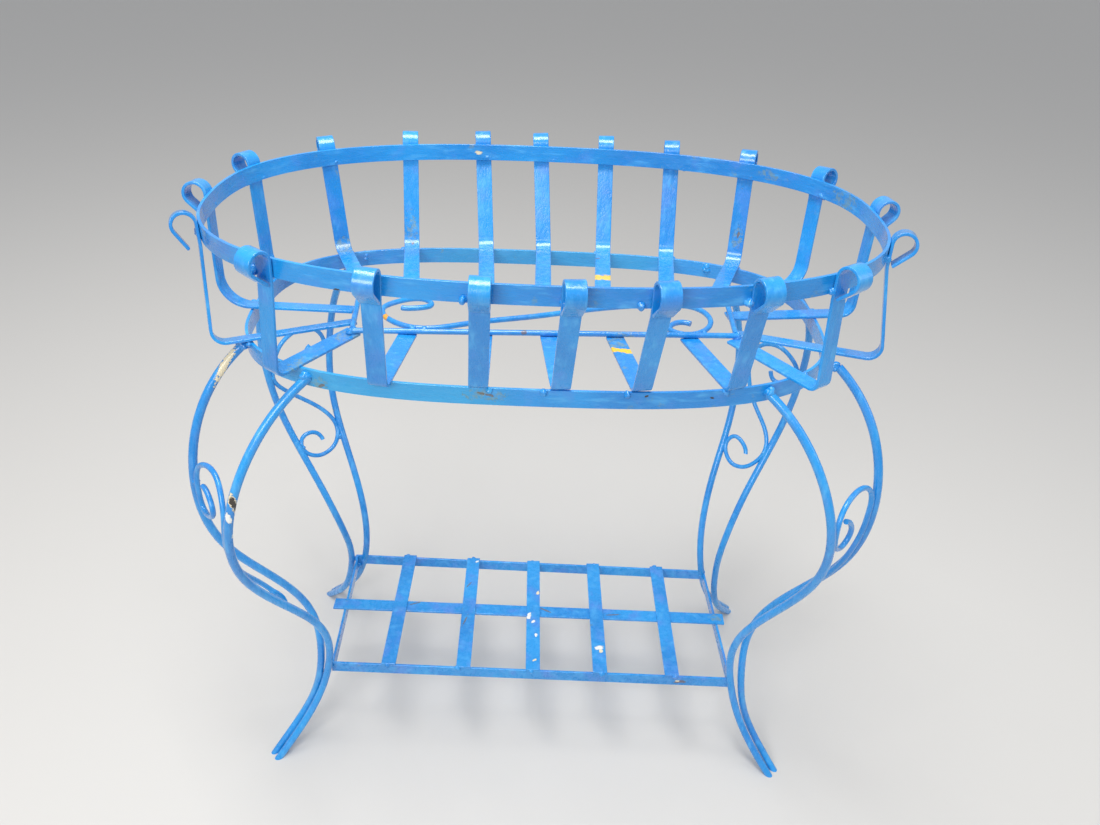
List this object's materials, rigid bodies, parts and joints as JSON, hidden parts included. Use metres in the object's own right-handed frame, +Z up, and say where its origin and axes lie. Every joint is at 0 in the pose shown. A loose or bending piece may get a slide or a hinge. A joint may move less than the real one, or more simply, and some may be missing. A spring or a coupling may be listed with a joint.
{
  "type": "oval wire plant stand",
  "caption": "Oval flat-bar basket plant stand with curled ribs, four paired-rod cabriole legs with scrolls and a low slatted shelf.",
  "frame": {"origin": "on the ground under the middle of the stand", "axes": "+Z up, +X along the oval's long way, -Y towards the front"},
  "size_m": [0.76, 0.4665, 0.7396],
  "materials": {
    "blue_paint": "brush-painted gloss blue over forged and welded steel, chipped in places"
  },
  "bodies": {
    "root": {"basket_hoop": "blue_paint", "floor_rod_back": "blue_paint", "floor_rod_front": "blue_paint", "floor_rod_left": "blue_paint", "floor_rod_right": "blue_paint", "floor_scroll": "blue_paint", "leg_back_left_a": "blue_paint", "leg_back_left_b": "blue_paint", "leg_back_right_a": "blue_paint", "leg_back_right_b": "blue_paint", "leg_front_left_a": "blue_paint", "leg_front_left_b": "blue_paint", "leg_front_right_a": "blue_paint", "leg_front_right_b": "blue_paint", "rib_01": "blue_paint", "rib_02": "blue_paint", "rib_03": "blue_paint", "rib_04": "blue_paint", "rib_05": "blue_paint", "rib_06": "blue_paint", "rib_07": "blue_paint", "rib_08": "blue_paint", "rib_09": "blue_paint", "rib_10": "blue_paint", "rib_11": "blue_paint", "rib_12": "blue_paint", "rib_13": "blue_paint", "rib_14": "blue_paint", "rib_15": "blue_paint", "rib_16": "blue_paint", "rib_17": "blue_paint", "rib_18": "blue_paint", "rib_19": "blue_paint", "rib_20": "blue_paint", "rim_hoop": "blue_paint", "scroll_back_left": "blue_paint", "scroll_back_right": "blue_paint", "scroll_front_left": "blue_paint", "scroll_front_right": "blue_paint", "shelf_rail_back": "blue_paint", "shelf_rail_front": "blue_paint", "shelf_side_left": "blue_paint", "shelf_side_right": "blue_paint", "shelf_slat_1": "blue_paint", "shelf_slat_2": "blue_paint", "shelf_slat_3": "blue_paint", "shelf_slat_4": "blue_paint", "shelf_slat_5": "blue_paint", "shelf_slat_long": "blue_paint"}
  },
  "joints": []
}
